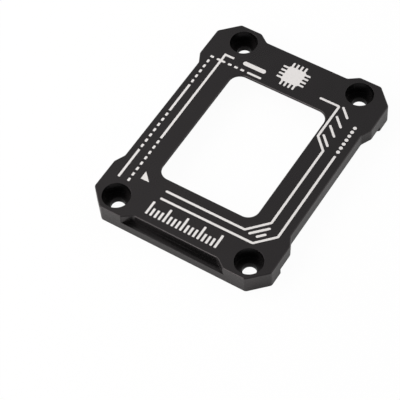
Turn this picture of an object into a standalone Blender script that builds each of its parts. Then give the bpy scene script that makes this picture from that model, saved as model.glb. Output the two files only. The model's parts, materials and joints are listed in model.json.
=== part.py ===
"""CPU socket retention frame, milled from one aluminium plate.

X runs along the short side, Y along the long side towards the back, and Z up.
The origin is at the outline's centre, on the board side, and lengths are metres.
"""

import math

import bmesh
import bpy

MM = 0.001

# Processor's carrier, which the frame presses down, and what stands round it
CARRIER_WIDTH = 37.5 * MM
CARRIER_LENGTH = 45.0 * MM
CARRIER_CLEARANCE = 0.25 * MM
CARRIER_POCKET_ROUND = 1.5 * MM
SOCKET_SIDE_RIM = 2.45 * MM
SOCKET_END_RIM = 2.2 * MM
SOCKET_CLEARANCE = 0.3 * MM
SOCKET_POCKET_ROUND = 2.0 * MM
SOCKET_POCKET_DEPTH = 3.4 * MM

# Window over the heat spreader, and the thin lip that overlaps the carrier round it
LIP_SIDE_OVERLAP = 4.0 * MM
LIP_END_OVERLAP = 2.7 * MM
LIP_THICKNESS = 0.7 * MM
WINDOW_ROUND = 3.2 * MM
WINDOW_SHIFT_X = -0.1 * MM
WINDOW_SHIFT_Y = 0.5 * MM

# Corner ears, and waists between them that leave a rail on each side and a bar at each end
SIDE_RAIL = 4.0 * MM
SIDE_WAIST_DEPTH = 1.5 * MM
SIDE_EAR = 14.2 * MM
SIDE_SLOPE_RUN = 2.95 * MM
END_BAR = 8.5 * MM
END_WAIST_DEPTH = 2.0 * MM
END_EAR = 11.4 * MM
END_SLOPE_RUN = 2.85 * MM
WAIST_ROUND = 1.5 * MM

# Plate, as wide and as long as the socket, its rails or bars, and the waists need
SOCKET_WIDTH = CARRIER_WIDTH + 2 * SOCKET_SIDE_RIM
SOCKET_LENGTH = CARRIER_LENGTH + 2 * SOCKET_END_RIM
PLATE_WIDTH = SOCKET_WIDTH + 2 * (SOCKET_CLEARANCE + SIDE_RAIL + SIDE_WAIST_DEPTH)
PLATE_LENGTH = SOCKET_LENGTH + 2 * (SOCKET_CLEARANCE + END_BAR + END_WAIST_DEPTH)
PLATE_THICKNESS = 6.0 * MM
CORNER_CHAMFER = 4.9 * MM
CORNER_ROUND = 1.2 * MM
TOP_EDGE_BREAK = 0.2 * MM
BOARD_EDGE_BREAK = 0.1 * MM

# The front waist is milled from the top only, down to a ledge
FRONT_LEDGE_HEIGHT = 3.1 * MM

# Side rails stand clear of the board between the front foot and the back foot
RAIL_CLEARANCE = 1.9 * MM
FOOT_LENGTH = 10.3 * MM
FOOT_CORNER_CUT = 1.0 * MM

# Counterbored screw holes, set in from the plate's edges; the back pair stands closer together
HOLE_ROW_INSET = 5.15 * MM
FRONT_HOLE_INSET = 6.75 * MM
BACK_HOLE_INSET = 8.7 * MM
SCREW_HOLE_DIAMETER = 3.9 * MM
SCREW_HOLE_CHAMFER = 0.2 * MM
COUNTERBORE_DIAMETER = 7.8 * MM
COUNTERBORE_EDGE_BREAK = 0.05 * MM
SCREW_SEAT_THICKNESS = 2.0 * MM

# Making
CUT_OVERRUN = 2.0 * MM
RUN_OUT_LENGTH = 4.0 * MM
RUN_OUT_DROP = 0.2 * MM
ARC_STEP = math.radians(7.5)
HOLE_FACETS = 64
WELD_DISTANCE = 0.001 * MM
FLAT_ANGLE = math.radians(0.1)
SHARP_ANGLE = math.radians(30)
BROKEN_EDGE_ANGLE = math.radians(60)


def clear_scene():
    for thing in list(bpy.data.objects):
        bpy.data.objects.remove(thing, do_unlink=True)


def new_collection(name, shown):
    collection = bpy.data.collections.new(name)
    collection.hide_render = not shown
    bpy.context.scene.collection.children.link(collection)
    return collection


def rounded_corner(before, corner, after, radius):
    """Points of the arc that rounds one corner of an outline."""
    start_x, start_y = before[0] - corner[0], before[1] - corner[1]
    end_x, end_y = after[0] - corner[0], after[1] - corner[1]
    towards_start = math.atan2(start_y, start_x)
    towards_end = math.atan2(end_y, end_x)
    opening = math.remainder(towards_end - towards_start, math.tau)
    bisector = towards_start + opening / 2
    to_centre = radius / math.sin(abs(opening) / 2)
    centre_x = corner[0] + to_centre * math.cos(bisector)
    centre_y = corner[1] + to_centre * math.sin(bisector)
    turn = math.copysign(math.pi - abs(opening), -opening)
    first = bisector + math.pi - turn / 2
    steps = max(1, math.ceil(abs(turn) / ARC_STEP))
    angles = [first + turn * step / steps for step in range(steps + 1)]
    return [(centre_x + radius * math.cos(angle), centre_y + radius * math.sin(angle)) for angle in angles]


def rounded_outline(corners):
    """Closed outline from corners given as (x, y, radius); a radius of 0 stays sharp."""
    points = []
    for index, (x, y, radius) in enumerate(corners):
        if radius == 0:
            points.append((x, y))
            continue
        before = corners[index - 1]
        after = corners[(index + 1) % len(corners)]
        points += rounded_corner(before, (x, y), after, radius)
    return points


def with_left_half(right_half):
    """Corners of the right half followed by their mirror images."""
    return right_half + [(-x, y, radius) for x, y, radius in reversed(right_half)]


def rectangle(width, length, radius, centre_x, centre_y):
    signs = [(1, -1), (1, 1), (-1, 1), (-1, -1)]
    return [(centre_x + sx * width / 2, centre_y + sy * length / 2, radius) for sx, sy in signs]


def solid_from_curve(guide, collection):
    """Welded mesh object that takes the place of a curve object."""
    bpy.context.view_layer.update()
    graph = bpy.context.evaluated_depsgraph_get()
    mesh = bpy.data.meshes.new_from_object(guide.evaluated_get(graph))
    edit = bmesh.new()
    edit.from_mesh(mesh)
    bmesh.ops.remove_doubles(edit, verts=edit.verts, dist=WELD_DISTANCE)
    bmesh.ops.dissolve_limit(edit, angle_limit=FLAT_ANGLE, verts=edit.verts, edges=edit.edges)
    bmesh.ops.recalc_face_normals(edit, faces=edit.faces)
    edit.to_mesh(mesh)
    edit.free()
    solid = bpy.data.objects.new(guide.name + "_solid", mesh)
    solid.matrix_world = guide.matrix_world.copy()
    bpy.data.objects.remove(guide, do_unlink=True)
    collection.objects.link(solid)
    return solid


def prism(name, corners, low, high, collection):
    """Flat outline, extruded from one level to another."""
    outline = rounded_outline(corners)
    curve = bpy.data.curves.new(name, "CURVE")
    curve.dimensions = "2D"
    curve.fill_mode = "BOTH"
    curve.extrude = (high - low) / 2
    spline = curve.splines.new("POLY")
    spline.points.add(len(outline) - 1)
    for point, (x, y) in zip(spline.points, outline):
        point.co = (x, y, 0, 1)
    spline.use_cyclic_u = True
    guide = bpy.data.objects.new(name, curve)
    guide.location.z = (low + high) / 2
    collection.objects.link(guide)
    solid = solid_from_curve(guide, collection)
    solid.name = name
    return solid


def turned(name, profile, x, y, collection):
    """Profile of (radius, height) points, turned about an upright axis at x, y."""
    mesh = bpy.data.meshes.new(name)
    edges = [(index, index + 1) for index in range(len(profile) - 1)]
    mesh.from_pydata([(radius, 0, height) for radius, height in profile], edges, [])
    solid = bpy.data.objects.new(name, mesh)
    solid.location = (x, y, 0)
    collection.objects.link(solid)
    screw = solid.modifiers.new("turn", "SCREW")
    screw.steps = HOLE_FACETS
    screw.render_steps = HOLE_FACETS
    screw.use_merge_vertices = True
    screw.merge_threshold = WELD_DISTANCE
    return solid


def cut_away(target, cutter):
    cutter.hide_render = True
    cutter.display_type = "WIRE"
    boolean = target.modifiers.new(cutter.name, "BOOLEAN")
    boolean.operation = "DIFFERENCE"
    boolean.solver = "EXACT"
    boolean.object = cutter


def plate_corners():
    """Ears with cut corners, and waists between them on both sides and at the back."""
    half_width = PLATE_WIDTH / 2
    half_length = PLATE_LENGTH / 2
    waist_x = half_width - SIDE_WAIST_DEPTH
    waist_y = half_length - END_WAIST_DEPTH
    ear_y = half_length - SIDE_EAR
    ear_x = half_width - END_EAR
    slope_y = ear_y - SIDE_SLOPE_RUN
    slope_x = ear_x - END_SLOPE_RUN
    return with_left_half(
        [
            (half_width - CORNER_CHAMFER, -half_length, CORNER_ROUND),
            (half_width, CORNER_CHAMFER - half_length, CORNER_ROUND),
            (half_width, -ear_y, WAIST_ROUND),
            (waist_x, -slope_y, WAIST_ROUND),
            (waist_x, slope_y, WAIST_ROUND),
            (half_width, ear_y, WAIST_ROUND),
            (half_width, half_length - CORNER_CHAMFER, CORNER_ROUND),
            (half_width - CORNER_CHAMFER, half_length, CORNER_ROUND),
            (ear_x, half_length, WAIST_ROUND),
            (slope_x, waist_y, WAIST_ROUND),
        ]
    )


def cut_front_waist(plate, cutters):
    """Waist at the front, open above and in front; its ends run out past the front face."""
    front_y = -PLATE_LENGTH / 2
    ear_x = PLATE_WIDTH / 2 - END_EAR
    run_out_x = ear_x + RUN_OUT_LENGTH
    corners = with_left_half(
        [
            (run_out_x, front_y - RUN_OUT_DROP - CUT_OVERRUN, 0),
            (run_out_x, front_y - RUN_OUT_DROP, 0),
            (ear_x, front_y, WAIST_ROUND),
            (ear_x - END_SLOPE_RUN, front_y + END_WAIST_DEPTH, WAIST_ROUND),
        ]
    )
    top = PLATE_THICKNESS + CUT_OVERRUN
    cut_away(plate, prism("front_waist_cutter", corners, FRONT_LEDGE_HEIGHT, top, cutters))


def cut_window(plate, cutters):
    width = CARRIER_WIDTH - 2 * LIP_SIDE_OVERLAP
    length = CARRIER_LENGTH - 2 * LIP_END_OVERLAP
    corners = rectangle(width, length, WINDOW_ROUND, WINDOW_SHIFT_X, WINDOW_SHIFT_Y)
    top = PLATE_THICKNESS + CUT_OVERRUN
    cut_away(plate, prism("window_cutter", corners, -CUT_OVERRUN, top, cutters))


def cut_carrier_pocket(plate, cutters):
    """Upper step of the pocket: it leaves the lip that presses on the heat spreader's rim."""
    width = CARRIER_WIDTH + 2 * CARRIER_CLEARANCE
    length = CARRIER_LENGTH + 2 * CARRIER_CLEARANCE
    corners = rectangle(width, length, CARRIER_POCKET_ROUND, WINDOW_SHIFT_X, WINDOW_SHIFT_Y)
    top = PLATE_THICKNESS - LIP_THICKNESS
    cut_away(plate, prism("carrier_pocket_cutter", corners, -CUT_OVERRUN, top, cutters))


def cut_socket_pocket(plate, cutters):
    """Lower, wider step of the pocket, for the body of the socket."""
    width = SOCKET_WIDTH + 2 * SOCKET_CLEARANCE
    length = SOCKET_LENGTH + 2 * SOCKET_CLEARANCE
    corners = rectangle(width, length, SOCKET_POCKET_ROUND, WINDOW_SHIFT_X, WINDOW_SHIFT_Y)
    cut_away(plate, prism("socket_pocket_cutter", corners, -CUT_OVERRUN, SOCKET_POCKET_DEPTH, cutters))


def cut_rail_relief(plate, cutters):
    """Lifts the side rails off the board; the feet lose a corner where they meet the side."""
    foot_y = PLATE_LENGTH / 2 - FOOT_LENGTH
    cut_x = PLATE_WIDTH / 2 - FOOT_CORNER_CUT
    reach = FOOT_CORNER_CUT + CUT_OVERRUN
    corners = with_left_half(
        [
            (cut_x, -foot_y, 0),
            (cut_x + reach, -foot_y - reach, 0),
            (cut_x + reach, foot_y + reach, 0),
            (cut_x, foot_y, 0),
        ]
    )
    cut_away(plate, prism("rail_relief_cutter", corners, -CUT_OVERRUN, RAIL_CLEARANCE, cutters))


def hole_places():
    """(name, x, y) of each screw hole."""
    places = []
    for end, end_sign, inset in (("front", -1, FRONT_HOLE_INSET), ("back", 1, BACK_HOLE_INSET)):
        for side, side_sign in (("left", -1), ("right", 1)):
            x = side_sign * (PLATE_WIDTH / 2 - inset)
            y = end_sign * (PLATE_LENGTH / 2 - HOLE_ROW_INSET)
            places.append((end + "_" + side, x, y))
    return places


def hole_profile():
    """Counterbore and screw hole, with broken edges, down the outer side from top to bottom."""
    bore = COUNTERBORE_DIAMETER / 2
    hole = SCREW_HOLE_DIAMETER / 2
    top = PLATE_THICKNESS + CUT_OVERRUN
    return [
        (0, top),
        (bore + COUNTERBORE_EDGE_BREAK + CUT_OVERRUN, top),
        (bore, PLATE_THICKNESS - COUNTERBORE_EDGE_BREAK),
        (bore, SCREW_SEAT_THICKNESS),
        (hole, SCREW_SEAT_THICKNESS),
        (hole, SCREW_HOLE_CHAMFER),
        (hole + SCREW_HOLE_CHAMFER + CUT_OVERRUN, -CUT_OVERRUN),
        (0, -CUT_OVERRUN),
    ]


def cut_screw_holes(plate, cutters):
    for name, x, y in hole_places():
        cut_away(plate, turned(name + "_hole_cutter", hole_profile(), x, y, cutters))


def bake_cuts(plate):
    """Turns the cut plate into a plain mesh in the part's own frame, so that its edges can be picked."""
    bpy.context.view_layer.update()
    graph = bpy.context.evaluated_depsgraph_get()
    mesh = bpy.data.meshes.new_from_object(plate.evaluated_get(graph))
    mesh.transform(plate.matrix_world)
    plate.modifiers.clear()
    plate.data = mesh
    plate.location = (0, 0, 0)


def is_sharp_rim(edge, level):
    """True on a sharp outward edge that lies at one level."""
    at_level = all(abs(vertex.co.z - level) < WELD_DISTANCE for vertex in edge.verts)
    return at_level and edge.is_convex and edge.calc_face_angle() > BROKEN_EDGE_ANGLE


def break_edges(plate):
    """Small flats along the sharp rims of the top face, of the front ledge and of the board side."""
    rims = [(PLATE_THICKNESS, TOP_EDGE_BREAK), (FRONT_LEDGE_HEIGHT, TOP_EDGE_BREAK), (0, BOARD_EDGE_BREAK)]
    edit = bmesh.new()
    edit.from_mesh(plate.data)
    bmesh.ops.remove_doubles(edit, verts=edit.verts, dist=WELD_DISTANCE)
    bmesh.ops.dissolve_limit(edit, angle_limit=FLAT_ANGLE, verts=edit.verts, edges=edit.edges)
    for level, width in rims:
        picked = [edge for edge in edit.edges if is_sharp_rim(edge, level)]
        bmesh.ops.bevel(edit, geom=picked, offset=width, segments=1, affect="EDGES", clamp_overlap=False)
    edit.to_mesh(plate.data)
    edit.free()


def anodised_black():
    material = bpy.data.materials.new("black_anodised_aluminium")
    material.use_nodes = True
    shader = material.node_tree.nodes["Principled BSDF"]
    shader.inputs["Base Color"].default_value = (0.026, 0.025, 0.026, 1)
    shader.inputs["Metallic"].default_value = 0.6
    shader.inputs["Roughness"].default_value = 0.5
    return material


def make_frame():
    parts = new_collection("cpu_socket_retention_frame", shown=True)
    cutters = new_collection("cutters", shown=False)
    plate = prism("retention_frame", plate_corners(), 0, PLATE_THICKNESS, parts)
    cut_front_waist(plate, cutters)
    cut_window(plate, cutters)
    cut_carrier_pocket(plate, cutters)
    cut_socket_pocket(plate, cutters)
    cut_rail_relief(plate, cutters)
    cut_screw_holes(plate, cutters)
    bake_cuts(plate)
    break_edges(plate)
    plate.data.materials.append(anodised_black())
    plate.data.shade_smooth()
    plate.data.set_sharp_from_angle(angle=SHARP_ANGLE)


clear_scene()
make_frame()
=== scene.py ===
# %% [markdown]
# A processor socket frame, dressed for its photograph
# The object is one plate of aluminium: 71 mm long, 54 mm wide and 6 mm thick. It was milled, blasted
# with fine beads and anodised black, and its line work was then bleached into the black by a laser.
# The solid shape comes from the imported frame. This lesson gives it what a camera sees: soft edges,
# the grain of the oxide, the white marks, a floor and a plain studio light.

# %% Load the frame
import json
import math
import bmesh
import bpy
from mathutils import Matrix, Vector


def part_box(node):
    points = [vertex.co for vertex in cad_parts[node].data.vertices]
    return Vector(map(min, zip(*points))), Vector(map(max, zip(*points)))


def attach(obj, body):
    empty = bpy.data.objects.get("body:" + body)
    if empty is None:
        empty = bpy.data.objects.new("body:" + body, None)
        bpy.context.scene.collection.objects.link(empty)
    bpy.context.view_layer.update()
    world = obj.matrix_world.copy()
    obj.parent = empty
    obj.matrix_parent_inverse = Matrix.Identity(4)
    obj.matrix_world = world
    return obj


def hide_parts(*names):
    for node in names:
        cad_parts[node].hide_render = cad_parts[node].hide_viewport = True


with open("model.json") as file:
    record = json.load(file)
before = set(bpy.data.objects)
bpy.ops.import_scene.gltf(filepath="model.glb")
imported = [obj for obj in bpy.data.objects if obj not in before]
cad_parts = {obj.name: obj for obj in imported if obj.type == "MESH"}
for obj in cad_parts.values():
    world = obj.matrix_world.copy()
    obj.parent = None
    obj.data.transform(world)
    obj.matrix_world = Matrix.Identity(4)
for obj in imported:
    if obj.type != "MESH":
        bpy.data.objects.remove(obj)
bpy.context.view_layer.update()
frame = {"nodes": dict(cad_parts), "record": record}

# %% [markdown]
# Sizes come from the frame
# Lengths are metres in Blender, but a maker thinks in millimetres, so one value turns them round.
# The top face, the four screw holes and the window are read from the frame, so the finish follows
# the part if a size in it changes.

# %% Sizes in millimetres
MM = 0.001
PLATE_LOW, PLATE_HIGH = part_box("retention_frame")
TOP = PLATE_HIGH.z
OPENINGS = {o["name"]: o["box_m"] for o in frame["record"]["physics"]["openings"]}


def opening_centre(name):
    """The middle of a stated opening, seen from above, in metres."""
    low, high = OPENINGS[name]
    return Vector(((low[0] + high[0]) / 2, (low[1] + high[1]) / 2))


HOLE_CENTRES = [opening_centre(name) for name in sorted(OPENINGS) if name.startswith("counterbore")]
print("screw holes in mm:", [tuple(round(x / MM, 2) for x in centre) for centre in HOLE_CENTRES])

# %% [markdown]
# Small helpers for node trees
# Geometry trees and materials are both made of nodes, so one function adds a node anywhere. It sets
# the node's own settings, and fills each input with a value or with a link from another node.
# Colours are written as the sRGB hex that a colour picker shows, and one function makes them linear,
# because Blender computes light in linear values.

# %% Node and colour helpers
def add_node(tree, kind, settings=None, inputs=None):
    """Adds a node with its settings, and fills its inputs with values or links."""
    node = tree.nodes.new(kind)
    for name, value in (settings or {}).items():
        setattr(node, name, value)
    for name, value in (inputs or {}).items():
        if isinstance(value, bpy.types.NodeSocket):
            tree.links.new(value, node.inputs[name])
        else:
            node.inputs[name].default_value = value
    return node


def linear(hex_colour):
    """Turns an sRGB hex colour such as "1d1c1d" into linear red, green, blue and alpha."""
    shares = [int(hex_colour[i:i + 2], 16) / 255 for i in (0, 2, 4)]
    straight = [s / 12.92 if s <= 0.04045 else ((s + 0.055) / 1.055) ** 2.4 for s in shares]
    return (*straight, 1.0)


def new_material(name):
    """A material whose Principled shader is ready to be filled, and that shader."""
    material = bpy.data.materials.new(name)
    material.use_nodes = True
    return material, material.node_tree.nodes["Principled BSDF"]


print("mid grey 808080 is", round(linear("808080")[0], 4), "in linear light")

# %% [markdown]
# The camera
# The photograph looks down on the frame from its front right, through a long lens. A camera was
# fitted to the plate's straight edges, with the plate's three sizes taken as known. These numbers say
# where it stands, round the point on the floor that the middle of the picture shows. The small roll
# is how far the camera was held askew.

# %% Camera
VIEW_POINT = Vector((-3.00, -17.31, 0.0)) * MM
VIEW_AZIMUTH = math.radians(36.597)
VIEW_ELEVATION = math.radians(55.221)
VIEW_DISTANCE = 445.37 * MM
VIEW_ROLL = math.radians(-5.318)
LENS = 151.88


def direction(azimuth, elevation):
    """Unit vector from the object: azimuth 0 is its front, and 90 degrees is its right side."""
    level = math.cos(elevation)
    return Vector((math.sin(azimuth) * level, -math.cos(azimuth) * level, math.sin(elevation)))


def place_camera():
    """Puts the scene's camera where the photograph was taken from."""
    data = bpy.data.cameras.new("photo_camera")
    data.lens = LENS
    data.clip_start = 0.01
    data.clip_end = 20.0
    camera = bpy.data.objects.new("photo_camera", data)
    bpy.context.scene.collection.objects.link(camera)
    back = direction(VIEW_AZIMUTH, VIEW_ELEVATION)
    upright = (-back).to_track_quat("-Z", "Y").to_matrix().to_4x4()
    place = Matrix.Translation(VIEW_POINT + back * VIEW_DISTANCE)
    camera.matrix_world = place @ upright @ Matrix.Rotation(VIEW_ROLL, 4, "Z")
    bpy.context.scene.camera = camera
    return camera


camera = place_camera()
print("camera at", [round(x / MM, 1) for x in camera.matrix_world.translation], "mm")

# %% [markdown]
# The plate, with soft edges
# The frame's solid already has its broken edges, 0.2 mm wide. On the real part the blasting and the
# acid bath round every corner a little more, which is why even a sharp edge catches a thin light.
# A copy of the solid gets that from Bevel. The copy's loose triangles are merged first, and flat
# stretches are joined, so that only true edges are left.

# %% Plate body
MERGE_GAP = 0.001 * MM
FLAT_ANGLE = math.radians(0.4)
SHARP_ANGLE = math.radians(30.0)
EDGE_RADIUS = 0.04 * MM
EDGE_STEPS = 2


def link_mesh(name, mesh):
    """A new object for a mesh, at the origin."""
    piece = bpy.data.objects.new(name, mesh)
    bpy.context.scene.collection.objects.link(piece)
    return piece


def bake_modifiers(piece):
    """Turns what the modifiers make into a plain mesh, and removes them."""
    bpy.context.view_layer.update()
    evaluated = piece.evaluated_get(bpy.context.evaluated_depsgraph_get())
    mesh = bpy.data.meshes.new_from_object(evaluated)
    piece.modifiers.clear()
    piece.data = mesh
    mesh.name = piece.name
    return piece


def plate_copy():
    """The frame's solid as one clean mesh with rounded edges."""
    mesh = frame["nodes"]["retention_frame"].data.copy()
    mesh.materials.clear()
    body = bmesh.new()
    body.from_mesh(mesh)
    bmesh.ops.remove_doubles(body, verts=body.verts, dist=MERGE_GAP)
    bmesh.ops.dissolve_limit(body, angle_limit=FLAT_ANGLE, verts=body.verts, edges=body.edges)
    body.to_mesh(mesh)
    body.free()
    plate = link_mesh("frame_plate", mesh)
    bevel = plate.modifiers.new("soft_edges", "BEVEL")
    bevel.width = EDGE_RADIUS
    bevel.segments = EDGE_STEPS
    bevel.limit_method = "ANGLE"
    bevel.angle_limit = SHARP_ANGLE
    bevel.use_clamp_overlap = False
    return bake_modifiers(plate)


plate = plate_copy()
print("plate:", len(plate.data.polygons), "faces with soft edges")

# %% [markdown]
# Marks as rows
# Most of the white marks are small shapes that repeat at a set pitch: dashes, dots, slanted ticks.
# That is work for Geometry Nodes: a line of points, and the same rounded rectangle stood on each.
# The tree makes upright prisms that pass through the top face. One set of prisms is used twice:
# it cuts the shallow recess that the laser leaves, and it gives the outline of the white floor in it.

# %% Geometry tree for a row of marks
def new_tree(name, sizes):
    """A geometry tree with named inputs. sizes maps each input's name to its socket's kind."""
    tree = bpy.data.node_groups.new(name, "GeometryNodeTree")
    tree.interface.new_socket("Geometry", in_out="INPUT", socket_type="NodeSocketGeometry")
    for size_name, kind in sizes.items():
        tree.interface.new_socket(size_name, in_out="INPUT", socket_type="NodeSocket" + kind)
    tree.interface.new_socket("Geometry", in_out="OUTPUT", socket_type="NodeSocketGeometry")
    source = add_node(tree, "NodeGroupInput")
    return tree, source.outputs


def end_tree(tree, geometry, material):
    """Ends a tree: its copies become real mesh, and the mesh gets its material."""
    real = add_node(tree, "GeometryNodeRealizeInstances", inputs={"Geometry": geometry})
    painted = add_node(
        tree, "GeometryNodeSetMaterial", inputs={"Geometry": real.outputs[0], "Material": material})
    add_node(tree, "NodeGroupOutput", inputs={"Geometry": painted.outputs[0]})


def upright_solid(tree, flat, depth):
    """Raises a flat face into a closed solid: sides and top from Extrude, and the turned face below."""
    raised = add_node(
        tree, "GeometryNodeExtrudeMesh",
        inputs={"Mesh": flat, "Offset": (0.0, 0.0, 1.0), "Offset Scale": depth, "Individual": False})
    below = add_node(tree, "GeometryNodeFlipFaces", inputs={"Mesh": flat})
    both = add_node(tree, "GeometryNodeJoinGeometry")
    tree.links.new(raised.outputs["Mesh"], both.inputs[0])
    tree.links.new(below.outputs["Mesh"], both.inputs[0])
    closed = add_node(
        tree, "GeometryNodeMergeByDistance", inputs={"Geometry": both.outputs[0], "Distance": MERGE_GAP})
    return closed.outputs[0]


ROUND_STEPS = 6


def build_row_tree():
    """A row of rounded rectangles, each raised into a prism."""
    sizes = {"Count": "Int", "Start": "Vector", "Step": "Vector", "Length": "Float", "Width": "Float",
             "Corner": "Float", "Turn": "Rotation", "Depth": "Float", "Material": "Material"}
    tree, given = new_tree("row_of_marks", sizes)
    points = add_node(
        tree, "GeometryNodeMeshLine",
        inputs={"Count": given["Count"], "Start Location": given["Start"], "Offset": given["Step"]})
    outline = add_node(
        tree, "GeometryNodeCurvePrimitiveQuadrilateral",
        inputs={"Width": given["Length"], "Height": given["Width"]})
    rounded = add_node(
        tree, "GeometryNodeFilletCurve", {"mode": "POLY"},
        {"Curve": outline.outputs[0], "Radius": given["Corner"], "Limit Radius": True, "Count": ROUND_STEPS})
    face = add_node(tree, "GeometryNodeFillCurve", {"mode": "NGONS"}, {"Curve": rounded.outputs[0]})
    prism = upright_solid(tree, face.outputs[0], given["Depth"])
    row = add_node(
        tree, "GeometryNodeInstanceOnPoints",
        inputs={"Points": points.outputs[0], "Instance": prism, "Rotation": given["Turn"]})
    end_tree(tree, row.outputs[0], given["Material"])
    return tree


def run_tree(name, tree, values, mesh=None):
    """Runs a geometry tree on a new object and keeps what it makes as a plain mesh."""
    host = link_mesh(name, mesh or bpy.data.meshes.new(name))
    modifier = host.modifiers.new(tree.name, "NODES")
    modifier.node_group = tree
    for socket in tree.interface.items_tree:
        if socket.name in values:
            modifier[socket.identifier] = values[socket.name]
    return bake_modifiers(host)


ROW_TREE = build_row_tree()
print("tree", ROW_TREE.name, "has", len(ROW_TREE.nodes), "nodes")

# %% [markdown]
# Marks as long strokes
# On the right side the laser drew two long lines that turn corners. A line is a path with a width,
# so a second tree takes the path's points as its own geometry, rounds the corners a little with
# Fillet Curve, sweeps a flat profile along it and puts a disc on each end. Only the corner points
# are given, so a line keeps its width wherever it is sent.

# %% Geometry tree for a stroke along a path
END_DISC_SIDES = 20


def build_stroke_tree():
    """A flat stroke of even width along a path, with round ends, raised into prisms."""
    sizes = {"Width": "Float", "Bend": "Float", "Depth": "Float", "Material": "Material"}
    tree, given = new_tree("stroke_along_path", sizes)
    path = add_node(tree, "GeometryNodeMeshToCurve", inputs={"Mesh": given["Geometry"]})
    bent = add_node(
        tree, "GeometryNodeFilletCurve", {"mode": "POLY"},
        {"Curve": path.outputs[0], "Radius": given["Bend"], "Limit Radius": True, "Count": ROUND_STEPS})
    level = add_node(tree, "GeometryNodeSetCurveNormal", {"mode": "Z_UP"}, {"Curve": bent.outputs[0]})
    half = add_node(tree, "ShaderNodeMath", {"operation": "MULTIPLY"}, {0: given["Width"], 1: 0.5})
    minus = add_node(tree, "ShaderNodeMath", {"operation": "MULTIPLY"}, {0: given["Width"], 1: -0.5})
    left = add_node(tree, "ShaderNodeCombineXYZ", inputs={"X": minus.outputs[0]})
    right = add_node(tree, "ShaderNodeCombineXYZ", inputs={"X": half.outputs[0]})
    profile = add_node(
        tree, "GeometryNodeCurvePrimitiveLine", inputs={"Start": left.outputs[0], "End": right.outputs[0]})
    ribbon = add_node(
        tree, "GeometryNodeCurveToMesh",
        inputs={"Curve": level.outputs[0], "Profile Curve": profile.outputs[0]})
    disc = add_node(
        tree, "GeometryNodeMeshCircle", {"fill_type": "NGON"},
        {"Vertices": END_DISC_SIDES, "Radius": half.outputs[0]})
    line = upright_solid(tree, ribbon.outputs[0], given["Depth"])
    cap = upright_solid(tree, disc.outputs[0], given["Depth"])
    ends = add_node(tree, "GeometryNodeCurveEndpointSelection")
    caps = add_node(
        tree, "GeometryNodeInstanceOnPoints",
        inputs={"Points": bent.outputs[0], "Selection": ends.outputs[0], "Instance": cap})
    both = add_node(tree, "GeometryNodeJoinGeometry")
    tree.links.new(line, both.inputs[0])
    tree.links.new(caps.outputs[0], both.inputs[0])
    end_tree(tree, both.outputs[0], given["Material"])
    return tree


STROKE_TREE = build_stroke_tree()
print("tree", STROKE_TREE.name, "has", len(STROKE_TREE.nodes), "nodes")

# %% [markdown]
# The finish of the plate
# Black anodised aluminium is not black paint. The acid bath grows a clear layer of aluminium oxide
# out of the metal, full of fine pores, and a black dye is sealed into them. The eye sees a very dark
# body under a glassy skin, so faces seen at a slant turn pale with the reflection of the floor.
# Beads were blasted at the metal first, so the skin is matt and faintly grainy, and where a corner
# stands proud the dye is a little worn. The floor of the ledge and the whole underside still show the
# streaks of the mill, and there the reflection is also a little weaker on average, which is painted
# shade for the recessed ledge. Real grain and cutter marks are about 0.1 mm apart or less: here they
# are 0.3 to 0.4 mm, so that a camera this far away can tell them.
#
# Some values are matched to the photograph, not known. Anodic oxide refracts at about 1.6, and 1.375
# is what makes the top face as dark as it looks. Upright faces reflect a little more near their top and
# less towards their foot, and the walls of the screw holes reflect less: this is painted shade, which
# stands in for the shadowed floor that these faces mirror beside and under the plate.

# %% Black anodised aluminium
GRAIN = 0.30 * MM
CLOUD = 5.0 * MM
SMUDGE = 14.0 * MM
TOOL_PITCH = 0.30 * MM
SEAT_RADIUS = 3.90 * MM
SEAT_DEPTH = 0.5 * MM
OXIDE_IOR = 1.375
OXIDE_TINT = "fff7fa"
SHINE = 0.5
# Painted shade: upright faces reflect less towards their foot, for the shadowed floor beside the plate that
# they mirror.
SHINE_AT_SHADED_FOOT = 0.56
SHINE_AT_HEAD = 0.76
FOOT = PLATE_LOW.z + 1.5 * MM
HEAD = PLATE_HIGH.z - 0.8 * MM
# Painted shade: the walls of the screw holes reflect less, for the dark floor under the plate that they
# mirror.
SHINE_IN_SHADED_BORE = 0.34
TURNED_ROUGHNESS = 0.27
RIM_DEPTH = 0.05 * MM
STREAK = 0.40 * MM
STREAK_STRETCH = 0.03
# Milled faces reflect less on average than the 0.5 elsewhere: painted shade for the recessed ledge; the
# streaks themselves are the mill's.
SHINE_OF_STREAKS = (0.24, 0.64)
FLAT_FACE = 0.9
DYE_DARK = "040404"
DYE_LIGHT = "070707"
DYE_SPARSE = "0d0c0c"
MATT = (0.27, 0.34)
HANDLED = -0.05
GRAIN_RELIEF = 0.012 * MM
GRAIN_STRENGTH = 0.35
RING_RELIEF = 0.5


def noise(tree, place, size, detail=2.0):
    """Noise whose patches are about size across, in metres."""
    texture = add_node(
        tree, "ShaderNodeTexNoise", inputs={"Vector": place, "Scale": 1 / size, "Detail": detail})
    return texture.outputs["Fac"]


def remap(tree, value, low, high, new_low, new_high):
    """Stretches a value from one range to another, and holds it there."""
    ranged = add_node(
        tree, "ShaderNodeMapRange",
        inputs={"Value": value, "From Min": low, "From Max": high, "To Min": new_low, "To Max": new_high})
    return ranged.outputs[0]


def sums(tree, operation, first, second):
    """One step of arithmetic on two values."""
    step = add_node(tree, "ShaderNodeMath", {"operation": operation}, {0: first, 1: second})
    return step.outputs[0]


def blend_colours(tree, share, first, second):
    """Goes from the first colour to the second as share goes from 0 to 1."""
    mix = add_node(tree, "ShaderNodeMix", {"data_type": "RGBA"}, {"Factor": share, "A": first, "B": second})
    return mix.outputs["Result"]


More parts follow.
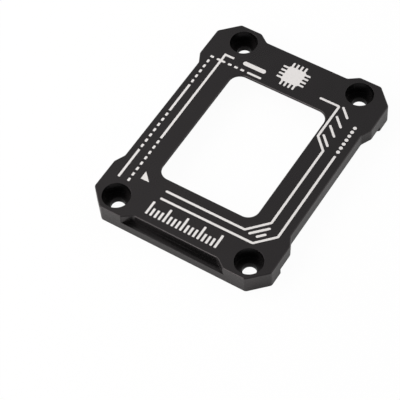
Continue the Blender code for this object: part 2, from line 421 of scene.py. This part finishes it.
def distance_to_holes(tree, place):
    """How far each point lies, seen from above, from the axis of the nearest screw hole."""
    parts = add_node(tree, "ShaderNodeSeparateXYZ", inputs={"Vector": place})
    level = add_node(tree, "ShaderNodeCombineXYZ", inputs={"X": parts.outputs["X"], "Y": parts.outputs["Y"]})
    nearest = None
    for centre in HOLE_CENTRES:
        gap = add_node(
            tree, "ShaderNodeVectorMath", {"operation": "DISTANCE"},
            {0: level.outputs[0], 1: (centre.x, centre.y, 0.0)})
        here = gap.outputs["Value"]
        nearest = here if nearest is None else sums(tree, "MINIMUM", nearest, here)
    return nearest, parts.outputs["Z"]


def in_bore(tree, distance, height, depth):
    """1 inside the screw holes, from the given depth under the top face downwards, and 0 elsewhere."""
    inside = sums(tree, "LESS_THAN", distance, SEAT_RADIUS)
    below = sums(tree, "LESS_THAN", height, TOP - depth)
    return sums(tree, "MULTIPLY", inside, below)


def tool_rings(tree, distance, height):
    """Rings that a turning cutter leaves on the floor of each counterbore, from 0 to 1."""
    turns = sums(tree, "MULTIPLY", distance, 2 * math.pi / TOOL_PITCH)
    wave = sums(tree, "SINE", turns, 0.0)
    rings = remap(tree, wave, -1.0, 1.0, 0.0, 1.0)
    return sums(tree, "MULTIPLY", rings, in_bore(tree, distance, height, SEAT_DEPTH))


def mill_streaks(tree, place):
    """Irregular lines along the plate's short side, as a mill leaves them, from 0 to 1."""
    drawn_out = add_node(
        tree, "ShaderNodeMapping", inputs={"Vector": place, "Scale": (STREAK_STRETCH, 1.0, 1.0)})
    return remap(tree, noise(tree, drawn_out.outputs[0], STREAK, 1.0), 0.35, 0.65, 0.0, 1.0)


def shine(tree, place, turned, height):
    """How strongly each place reflects, where 0.5 is the full reflection of the clear oxide; it is lower low
    on upright faces and in the screw holes, as painted shade.
    """
    geometry = add_node(tree, "ShaderNodeNewGeometry")
    facing = add_node(tree, "ShaderNodeSeparateXYZ", inputs={"Vector": geometry.outputs["True Normal"]})
    level = sums(tree, "ABSOLUTE", facing.outputs["Z"], 0.0)
    # Painted shade: less reflection low on upright faces.
    upright = remap(tree, height, FOOT, HEAD, SHINE_AT_SHADED_FOOT, SHINE_AT_HEAD)
    outside = remap(tree, level, 0.0, 1.0, upright, SHINE)
    milled = sums(tree, "MULTIPLY", sums(tree, "GREATER_THAN", level, FLAT_FACE),
                  sums(tree, "LESS_THAN", height, TOP - SEAT_DEPTH))
    # Painted shade: milled faces reflect a little less on average, for the recessed ledge; the streaks are
    # the mill's.
    streaked = remap(tree, mill_streaks(tree, place), 0.0, 1.0, *SHINE_OF_STREAKS)
    cut = remap(tree, milled, 0.0, 1.0, outside, streaked)
    # Painted shade: less reflection inside the screw holes.
    return remap(tree, turned, 0.0, 1.0, cut, SHINE_IN_SHADED_BORE)


def anodised_black():
    """Black anodised aluminium, blasted: matt, grainy, and a little worn on its edges."""
    material, shader = new_material("black_anodised_aluminium_bead_blasted")
    tree = material.node_tree
    place = add_node(tree, "ShaderNodeTexCoord").outputs["Object"]
    grain = noise(tree, place, GRAIN, 1.0)
    cloud = noise(tree, place, CLOUD, 3.0)
    smudge = noise(tree, place, SMUDGE, 2.0)
    rub = add_node(tree, "ShaderNodeAttribute", {"attribute_name": "edge_rub"}).outputs["Fac"]
    dye = blend_colours(tree, remap(tree, cloud, 0.35, 0.65, 0.0, 1.0), linear(DYE_DARK), linear(DYE_LIGHT))
    speckled = blend_colours(tree, remap(tree, grain, 0.45, 0.75, 0.0, 0.35), dye, linear(DYE_SPARSE))
    worn = sums(tree, "MULTIPLY", rub, remap(tree, grain, 0.35, 0.65, 0.25, 1.0))
    colour = blend_colours(tree, worn, speckled, linear(DYE_SPARSE))
    tree.links.new(colour, shader.inputs["Base Color"])
    distance, level = distance_to_holes(tree, place)
    turned = in_bore(tree, distance, level, RIM_DEPTH)
    matt = remap(tree, grain, 0.3, 0.7, *MATT)
    handled = remap(tree, smudge, 0.4, 0.7, 0.0, HANDLED)
    blasted = sums(tree, "ADD", matt, handled)
    tree.links.new(remap(tree, turned, 0.0, 1.0, blasted, TURNED_ROUGHNESS), shader.inputs["Roughness"])
    tree.links.new(shine(tree, place, turned, level), shader.inputs["Specular IOR Level"])
    rings = tool_rings(tree, distance, level)
    height = sums(tree, "ADD", grain, sums(tree, "MULTIPLY", rings, RING_RELIEF))
    bump = add_node(
        tree, "ShaderNodeBump",
        inputs={"Strength": GRAIN_STRENGTH, "Distance": GRAIN_RELIEF, "Height": height})
    tree.links.new(bump.outputs[0], shader.inputs["Normal"])
    shader.inputs["IOR"].default_value = OXIDE_IOR
    shader.inputs["Specular Tint"].default_value = linear(OXIDE_TINT)
    return material


ANODISED = anodised_black()
print("material", ANODISED.name, "has", len(ANODISED.node_tree.nodes), "nodes")

# %% [markdown]
# The finish of the marks
# A laser does not add ink. Its heat cracks the sealed oxide, and the broken layer scatters all light:
# it turns a chalky white, a hair lower than the black around it. The beam moves in close parallel
# lines, so the white is faintly hatched. The real lines lie about 0.05 mm apart: here they are 0.2 mm,
# so that they show in a close view. From the photograph's distance they melt into one even white. A
# wave texture of scale 1 repeats every 2 pi / 20 of a unit, and its scale is worked out from that.

# %% Laser-bleached oxide
HATCH_PITCH = 0.20 * MM
WAVE_PERIOD = 2 * math.pi / 20
HATCH_TURN = math.radians(45.0)
HATCH_WOBBLE = 0.6
WHITE_DARK = "dddcdb"
WHITE_LIGHT = "e4e3e2"
CHALK_GREY = "d0cfce"
CHALK_MATT = (0.75, 0.9)
CHALK_RELIEF = 0.006 * MM
CHALK_STRENGTH = 0.4
CHALK = 0.12 * MM


def bleached_white():
    """White oxide cracked by a laser: chalky and matt, with the faint hatch of its passes."""
    material, shader = new_material("aluminium_oxide_laser_bleached")
    tree = material.node_tree
    place = add_node(tree, "ShaderNodeTexCoord").outputs["Object"]
    turned = add_node(
        tree, "ShaderNodeMapping", inputs={"Vector": place, "Rotation": (0.0, 0.0, HATCH_TURN)})
    passes = add_node(
        tree, "ShaderNodeTexWave",
        inputs={"Vector": turned.outputs[0], "Scale": WAVE_PERIOD / HATCH_PITCH,
                "Distortion": HATCH_WOBBLE, "Detail": 1.0})
    chalk = noise(tree, place, CHALK, 2.0)
    hatch = blend_colours(tree, passes.outputs["Fac"], linear(WHITE_DARK), linear(WHITE_LIGHT))
    colour = blend_colours(tree, remap(tree, chalk, 0.5, 0.8, 0.0, 0.5), hatch, linear(CHALK_GREY))
    tree.links.new(colour, shader.inputs["Base Color"])
    tree.links.new(remap(tree, chalk, 0.3, 0.7, *CHALK_MATT), shader.inputs["Roughness"])
    bump = add_node(
        tree, "ShaderNodeBump",
        inputs={"Strength": CHALK_STRENGTH, "Distance": CHALK_RELIEF, "Height": chalk})
    tree.links.new(bump.outputs[0], shader.inputs["Normal"])
    return material


BLEACHED = bleached_white()
print("material", BLEACHED.name, "has", len(BLEACHED.node_tree.nodes), "nodes")

# %% [markdown]
# Where the marks are
# Places are millimetres from the middle of the frame, x to the right and y to the back, as measured
# on the top face. Each row is named by its first mark, its step and its count. The thin marks all
# share one stroke width, apart from two short ones at the front right that look a little wider.

# %% Layout helpers
THIN = 0.68
BROAD = 1.37
WIDER = 0.73
DASH = 1.10
SQUARE_END = 0.10
SOFT_END = 0.20
RECESS = 0.030 * MM
FLOOR_DROP = 0.010 * MM
FLOOR_SEAT = 0.002 * MM
ABOVE = 0.200 * MM


def mark_row(count, first, step, length, width, corner, turn=0.0):
    """Prisms for a row of equal marks. Sizes are millimetres, and turn is the mark's angle in degrees."""
    values = {
        "Count": count, "Start": (first[0] * MM, first[1] * MM, TOP - RECESS),
        "Step": (step[0] * MM, step[1] * MM, 0.0), "Length": length * MM, "Width": width * MM,
        "Corner": corner * MM, "Turn": (0.0, 0.0, math.radians(turn)), "Depth": RECESS + ABOVE,
        "Material": BLEACHED}
    return run_tree("row", ROW_TREE, values)


def mark_bar(start, end, width=THIN, corner=THIN / 2):
    """Prism for one straight stroke from start to end, which are its very tips."""
    run = Vector(end) - Vector(start)
    middle = (Vector(start) + Vector(end)) / 2
    turn = math.degrees(math.atan2(run.y, run.x))
    return mark_row(1, middle, (0, 0), run.length, width, corner, turn)


def mark_stroke(points, width=THIN, bend=0.36):
    """Prisms for a stroke through points, whose ends are round and reach half a width past the last."""
    mesh = bpy.data.meshes.new("path")
    corners = [(x * MM, y * MM, TOP - RECESS) for x, y in points]
    mesh.from_pydata(corners, [(i, i + 1) for i in range(len(corners) - 1)], [])
    values = {"Width": width * MM, "Bend": bend * MM, "Depth": RECESS + ABOVE, "Material": BLEACHED}
    return run_tree("stroke", STROKE_TREE, values, mesh)


def joined(name, parts):
    """One object from several, which are removed."""
    body = bmesh.new()
    for part in parts:
        body.from_mesh(part.data)
        bpy.data.objects.remove(part)
    mesh = bpy.data.meshes.new(name)
    body.to_mesh(mesh)
    body.free()
    return link_mesh(name, mesh)


def signed_volume(piece):
    """Volume of a closed mesh in cubic millimetres, negative where it is inside out."""
    body = bmesh.new()
    body.from_mesh(piece.data)
    volume = body.calc_volume(signed=True) / MM ** 3
    body.free()
    return volume


trial = mark_stroke([(0, 0), (5, 0), (5, 5)])
print("a trial stroke has", round(signed_volume(trial), 3), "cubic mm, ideal about",
      round((10 * THIN + math.pi / 4 * THIN ** 2) * (RECESS + ABOVE) / MM, 3))
bpy.data.objects.remove(trial)

# %% [markdown]
# The left side: dashes, strokes and a corner
# Two columns run along the left rail. The outer one alternates dashes and strokes, and a row of the
# same marks turns the corner at its back end. The inner one is a long line that starts with a corner
# and ends in dashes. The columns lean by 0.3 degrees, as measured.

# %% Left side
OUTER_X = -23.30
INNER_X = -20.30
LEAN = 0.0052
LEAN_FROM = -2.0
DASH_PITCH = 2.012
ROW_Y = 21.71
CORNER_Y = 24.10


def on_column(x, y):
    """A point at height y on a column that leans and passes through x half way down."""
    return (x - LEAN * (y - LEAN_FROM), y)


def dash_column(x, first_y, count):
    """A column of short dashes that goes towards the front."""
    step = (LEAN * DASH_PITCH, -DASH_PITCH)
    return mark_row(count, on_column(x, first_y), step, DASH, THIN, SOFT_END, turn=90.0)


def dash_row(first_x, count):
    """A row of short dashes that goes to the right."""
    return mark_row(count, (first_x, ROW_Y), (DASH_PITCH, 0), DASH, THIN, SOFT_END)


dashes = joined("mark_dashes", [
    dash_column(OUTER_X, 19.85, 5),
    dash_column(OUTER_X, -1.36, 7),
    dash_column(INNER_X, -10.35, 8),
    dash_row(-23.25, 1),
    dash_row(-17.56, 3)])
bars = joined("mark_bars", [
    mark_bar(on_column(OUTER_X, 10.36), on_column(OUTER_X, 0.09), corner=SQUARE_END),
    mark_bar(on_column(OUTER_X, -14.84), on_column(OUTER_X, -24.99), corner=SQUARE_END),
    mark_bar(on_column(INNER_X, CORNER_Y + THIN / 2), on_column(INNER_X, -8.95), corner=0.0),
    mark_bar((on_column(INNER_X, CORNER_Y)[0] - THIN / 2, CORNER_Y), (-17.60, CORNER_Y), corner=0.0),
    mark_bar((-21.75, ROW_Y), (-19.02, ROW_Y)),
    mark_bar((-11.98, ROW_Y), (-7.50, ROW_Y)),
    mark_bar((-14.64, 24.15), (-7.51, 24.15), width=BROAD, corner=BROAD / 2)])
print("left side:", len(dashes.data.polygons), "dash faces,", len(bars.data.polygons), "bar faces")

# %% [markdown]
# The right side: two long lines, dots and slanted ticks
# The inner line follows the window's corner and steps outwards half way. The outer line runs beside
# it and carries on from a row of dots. Slanted ticks stand between the two.

# %% Right side
INNER_LINE = [(9.90, 23.95), (15.60, 23.95), (15.57, 12.60), (19.20, 9.00), (19.20, -17.50), (14.30, -22.65),
              (-9.45, -22.72)]
OUTER_LINE = [(22.81, 8.80), (22.86, -20.40), (18.20, -25.20), (-9.46, -25.34)]
DOT = 1.06
DOT_PITCH = 1.51
TICK_PITCH = 3.53

lines = joined("mark_lines", [mark_stroke(INNER_LINE), mark_stroke(OUTER_LINE)])
dots = joined("mark_dots", [mark_row(7, (22.81, 19.65), (0, -DOT_PITCH), DOT, DOT, DOT / 2)])
ticks = joined("mark_ticks", [
    mark_row(4, (18.09, 22.85), (0, -TICK_PITCH), 4.30, THIN, THIN / 2, turn=-44.5),
    mark_bar((15.74, -23.26), (19.94, -19.05), width=WIDER, corner=WIDER / 2),
    mark_bar((17.90, -23.19), (19.92, -21.16), width=WIDER, corner=WIDER / 2)])
print("right side:", len(lines.data.polygons), "line faces,", len(dots.data.polygons), "dot faces")

# %% [markdown]
# The corner mark, a chip sign and a scale
# A small triangle tells which way round the processor goes in, so it stays where the real one is.
# The two other places get plain signs of about the same size and weight: at the back a chip, drawn as
# a rounded square with legs, and along the front a scale like a ruler's.

# %% Corner mark and signs
CORNER_MARK = [(-17.70, -20.00), (-17.70, -22.65), (-15.10, -22.60)]
CHIP_CENTRE = Vector((-0.28, 26.82))
CHIP_BODY = 5.40
CHIP_ROUND = 0.70
CHIP_LEG = 0.62
CHIP_LEG_REACH = 1.20
CHIP_LEG_PITCH = 1.28
CHIP_LEGS = 4
SCALE_LEFT = -10.45
SCALE_FRONT = -31.30
SCALE_TICK = 4.30
SCALE_SHORT = 2.50
SCALE_PITCH = 1.31
SCALE_LONG_EVERY = 4
SCALE_COUNT = 17


def mark_polygon(corners):
    """Prism over a flat outline given corner by corner, anticlockwise."""
    body = bmesh.new()
    ring = [body.verts.new((x * MM, y * MM, TOP - RECESS)) for x, y in corners]
    face = body.faces.new(ring)
    face.normal_update()
    if face.normal.z < 0:
        face.normal_flip()
    lifted = bmesh.ops.extrude_face_region(body, geom=[face])
    tips = [v for v in lifted["geom"] if isinstance(v, bmesh.types.BMVert)]
    bmesh.ops.translate(body, verts=tips, vec=(0, 0, RECESS + ABOVE))
    bmesh.ops.recalc_face_normals(body, faces=body.faces)
    mesh = bpy.data.meshes.new("polygon")
    body.to_mesh(mesh)
    body.free()
    return link_mesh("polygon", mesh)


def chip_legs():
    """Legs on the four sides of the chip sign, one row for each side."""
    rows = []
    first = -CHIP_LEG_PITCH * (CHIP_LEGS - 1) / 2
    reach = CHIP_BODY / 2 + CHIP_LEG_REACH / 2
    for side in range(4):
        turn = Matrix.Rotation(math.radians(90 * side), 2)
        start = CHIP_CENTRE + turn @ Vector((reach, first))
        step = turn @ Vector((0, CHIP_LEG_PITCH))
        length = CHIP_LEG_REACH + CHIP_LEG
        rows.append(mark_row(CHIP_LEGS, start, step, length, CHIP_LEG, CHIP_LEG * 0.3, turn=90 * side))
    return rows


def scale_ticks():
    """A ruler's ticks, on one line at the front: every fourth is long."""
    rows = []
    for index in range(SCALE_COUNT):
        x = SCALE_LEFT + index * SCALE_PITCH
        height = SCALE_TICK if index % SCALE_LONG_EVERY == 0 else SCALE_SHORT
        rows.append(mark_bar((x, SCALE_FRONT), (x, SCALE_FRONT + height), corner=0.15))
    return rows


corner_mark = joined("mark_corner", [mark_polygon(CORNER_MARK)])
chip_body = mark_row(1, CHIP_CENTRE, (0, 0), CHIP_BODY, CHIP_BODY, CHIP_ROUND)
chip = joined("mark_chip", [chip_body, *chip_legs()])
scale = joined("mark_scale", scale_ticks())
prisms = [dashes, bars, lines, dots, ticks, corner_mark, chip, scale]
print("prism volumes in cubic mm:", {p.name: round(signed_volume(p), 2) for p in prisms})

# %% [markdown]
# Cut the recesses, and fill them with white
# All the prisms together cut the plate, which leaves recesses 0.03 mm deep. Then a thin sheet the
# size of the plate is cut down to each set of prisms, which leaves exactly their outlines: that is
# the white floor of each recess, and it lies just under the black face.

# %% Recesses and white floors
def cut_with(piece, cutter, operation):
    """Cuts a piece with another, and bakes the result."""
    cut = piece.modifiers.new("cut", "BOOLEAN")
    cut.operation = operation
    cut.solver = "EXACT"
    cut.use_self = True
    cut.object = cutter
    return bake_modifiers(piece)


def thin_sheet(name):
    """A sheet over the whole plate, as thick as the white floor of a recess."""
    low = TOP - RECESS + FLOOR_SEAT
    high = TOP - FLOOR_DROP
    body = bmesh.new()
    bmesh.ops.create_cube(body, size=1.0)
    size = PLATE_HIGH - PLATE_LOW
    bmesh.ops.scale(body, verts=body.verts, vec=(size.x, size.y, high - low))
    bmesh.ops.translate(body, verts=body.verts, vec=(0, 0, (high + low) / 2))
    mesh = bpy.data.meshes.new(name)
    body.to_mesh(mesh)
    body.free()
    return link_mesh(name, mesh)


def white_floor(prism):
    """The white floor for one set of prisms, under the same name."""
    name = prism.name
    floor_piece = cut_with(thin_sheet(name + "_floor"), prism, "INTERSECT")
    bpy.data.objects.remove(prism)
    floor_piece.name = name
    floor_piece.data.name = name
    floor_piece.data.materials.clear()
    floor_piece.data.materials.append(BLEACHED)
    return floor_piece


cutter = link_mesh("all_prisms", bpy.data.meshes.new("all_prisms"))
body = bmesh.new()
for prism in prisms:
    body.from_mesh(prism.data)
body.to_mesh(cutter.data)
body.free()
cut_with(plate, cutter, "DIFFERENCE")
bpy.data.objects.remove(cutter)
marks = [white_floor(prism) for prism in prisms]
print("plate:", len(plate.data.polygons), "faces;", {m.name: len(m.data.polygons) for m in marks})

# %% [markdown]
# Tell the finish where the edges are
# The rub on the edges needs to know which faces are edges. On this plate every face lies flat or
# stands upright, apart from the broken and rounded edges, so a face that leans is an edge. Its lean
# is kept as an attribute that the material reads.

# %% Edge attribute and smooth shading
LEAN_LOW = 0.05
LEAN_HIGH = 0.98


def mark_edges(piece):
    """Stores 1 on the faces that lean, which are the edge breaks, and 0 on the rest."""
    mesh = piece.data
    rub = mesh.attributes.new("edge_rub", "FLOAT", "FACE")
    leans = [LEAN_LOW < abs(face.normal.z) < LEAN_HIGH for face in mesh.polygons]
    rub.data.foreach_set("value", [float(lean) for lean in leans])
    return sum(leans)


def finish_mesh(piece, material):
    """One material, and smooth shading that breaks at the true edges and keeps the flats flat."""
    piece.data.materials.clear()
    piece.data.materials.append(material)
    piece.data.shade_smooth()
    piece.data.set_sharp_from_angle(angle=SHARP_ANGLE)
    weighted = piece.modifiers.new("flat_faces_first", "WEIGHTED_NORMAL")
    weighted.mode = "FACE_AREA"
    weighted.weight = 100
    weighted.keep_sharp = True
    bake_modifiers(piece)


print("edge faces:", mark_edges(plate))
finish_mesh(plate, ANODISED)
for mark in marks:
    finish_mesh(mark, BLEACHED)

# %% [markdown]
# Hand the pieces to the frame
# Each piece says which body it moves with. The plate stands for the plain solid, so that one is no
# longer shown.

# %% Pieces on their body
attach(plate, "root")
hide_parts("retention_frame")
for mark in marks:
    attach(mark, "root")
print("pieces:", [piece.name for piece in (plate, *marks)])

# %% [markdown]
# The floor
# A product photographer uses a lit white table, so that the paper burns out to pure white. Here nearly
# all of the white that the camera sees is the floor's own, at a strength of 1, and the rest is plain
# diffuse white that takes the shadow of the frame. A mirrored view of the floor gets a smaller share
# of that glow, so the plate's sides show the shadow round its foot. Light that bounces off the floor
# comes from the diffuse part alone.

# %% Floor
FLOOR_SIZE = 6.0
FLOOR_GAP = 0.02 * MM
FLOOR_WHITE = "f7f7f7"
FLOOR_GLOW = 0.96
FLOOR_MIRRORED = 0.24


def seen_directly(tree, mirrored):
    """1 for rays of the camera, the given share for those of reflections and glass, and 0 for the others."""
    path = add_node(tree, "ShaderNodeLightPath")
    other = sums(tree, "MAXIMUM", path.outputs["Is Glossy Ray"], path.outputs["Is Transmission Ray"])
    return sums(tree, "MAXIMUM", path.outputs["Is Camera Ray"], sums(tree, "MULTIPLY", other, mirrored))


def table_white():
    """A lit white table: white to the eye, and plain diffuse white to the light that falls on it."""
    material = bpy.data.materials.new("lit_white_table")
    material.use_nodes = True
    tree = material.node_tree
    tree.nodes.clear()
    diffuse = add_node(tree, "ShaderNodeBsdfDiffuse", inputs={"Color": linear(FLOOR_WHITE)})
    glow = add_node(tree, "ShaderNodeEmission", inputs={"Color": linear("ffffff"), "Strength": 1.0})
    share = sums(tree, "MULTIPLY", seen_directly(tree, FLOOR_MIRRORED), FLOOR_GLOW)
    mix = add_node(tree, "ShaderNodeMixShader", inputs={0: share, 1: diffuse.outputs[0], 2: glow.outputs[0]})
    add_node(tree, "ShaderNodeOutputMaterial", inputs={"Surface": mix.outputs[0]})
    return material


def lay_floor():
    """A wide flat floor just under the frame."""
    body = bmesh.new()
    bmesh.ops.create_grid(body, x_segments=1, y_segments=1, size=FLOOR_SIZE / 2)
    bmesh.ops.translate(body, verts=body.verts, vec=(0, 0, PLATE_LOW.z - FLOOR_GAP))
    mesh = bpy.data.meshes.new("floor")
    body.to_mesh(mesh)
    body.free()
    floor = link_mesh("floor", mesh)
    floor.data.materials.append(table_white())
    return floor


lay_floor()
print("floor", FLOOR_SIZE, "m wide")

# %% [markdown]
# The light
# Five softboxes stand round the frame, and none where the top face would mirror it into the lens, so
# the black stays black. One low in front puts the thin light on the edges that face it, and a faint
# one low on the right does so for the edges there. One at the back right lights the table that the
# right side mirrors. A small one near the front left makes the wall there brighter than the rest, and
# a soft one on the left lifts that side of the top face. The dim surroundings do the rest. Each box
# is given by where it stands, its size and how bright its face is, and its power follows from those:
# a flat lamp is as bright as its power over pi times its area.

# %% Softboxes and surroundings
LAMP_COLOUR = "fffaf8"
AROUND = 0.36
AROUND_MIRRORED = 0.60


def softbox(name, azimuth, elevation, distance, width, height, brightness):
    """A flat lamp that faces the frame. Angles are degrees, lengths are metres."""
    data = bpy.data.lights.new(name, "AREA")
    data.shape = "RECTANGLE"
    data.size = width
    data.size_y = height
    data.energy = brightness * math.pi * width * height
    data.color = linear(LAMP_COLOUR)[:3]
    lamp = bpy.data.objects.new(name, data)
    bpy.context.scene.collection.objects.link(lamp)
    away = direction(math.radians(azimuth), math.radians(elevation))
    lamp.location = away * distance
    lamp.rotation_mode = "QUATERNION"
    lamp.rotation_quaternion = away.to_track_quat("Z", "Y")
    return lamp


def surroundings():
    """A white tent all round: white to the eye and in reflections, and a soft part of the light."""
    world = bpy.data.worlds.new("white_tent")
    bpy.context.scene.world = world
    world.use_nodes = True
    tree = world.node_tree
    tree.nodes.clear()
    dim = add_node(tree, "ShaderNodeBackground", inputs={"Color": linear("ffffff"), "Strength": AROUND})
    white = add_node(tree, "ShaderNodeBackground", inputs={"Color": linear("ffffff"), "Strength": 1.0})
    mix = add_node(
        tree, "ShaderNodeMixShader",
        inputs={0: seen_directly(tree, AROUND_MIRRORED), 1: dim.outputs[0], 2: white.outputs[0]})
    add_node(tree, "ShaderNodeOutputWorld", inputs={"Surface": mix.outputs[0]})


softbox("low_in_front", -22.0, 27.0, 0.8, 0.42, 0.28, 5.2)
softbox("low_on_the_right", 119.0, 20.0, 0.7, 0.60, 0.30, 1.0)
softbox("back_right", 155.0, 42.0, 0.7, 0.45, 0.45, 1.5)
softbox("near_front_left", -66.0, 38.0, 0.35, 0.25, 0.25, 3.6)
softbox("near_on_the_left", -100.0, 50.0, 0.45, 0.45, 0.45, 0.4)
surroundings()
bpy.context.scene.view_settings.view_transform = "Standard"
